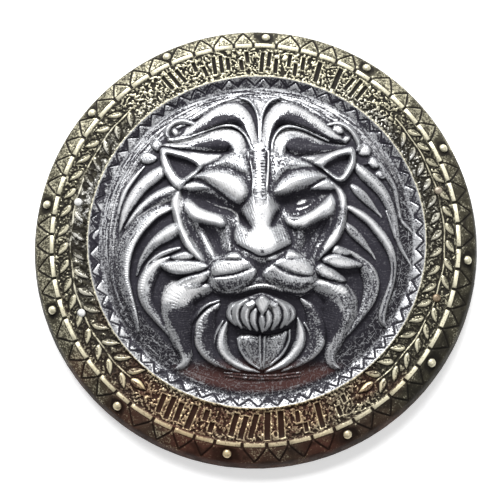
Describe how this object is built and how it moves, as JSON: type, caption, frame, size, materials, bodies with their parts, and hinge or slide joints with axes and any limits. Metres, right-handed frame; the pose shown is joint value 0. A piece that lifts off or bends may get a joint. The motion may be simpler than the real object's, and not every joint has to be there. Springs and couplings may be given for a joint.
{
  "type": "roman shield",
  "caption": "Round moulded costume shield with a lion's head in relief inside a laurel rim, and a hand grip and an arm band riveted behind.",
  "frame": {"origin": "centre of the rim's outer circle, in the plane of the flat edge that the shield lies on", "axes": "+Z is the way the lion looks, +Y the top of its head, +X to the right as seen from in front"},
  "size_m": [0.4702, 0.4702, 0.0626],
  "materials": {
    "shell": "metallic paint: antique silver field with dark wash, antique gold rim",
    "straps": "plain black moulded plastic",
    "rivets": "plain domed blind rivets"
  },
  "bodies": {
    "root": {"shield": "shell", "hand_grip": "straps", "arm_band": "straps", "rivet_grip_upper": "rivets", "rivet_grip_lower": "rivets", "rivet_arm_upper": "rivets", "rivet_arm_lower": "rivets"}
  },
  "joints": []
}
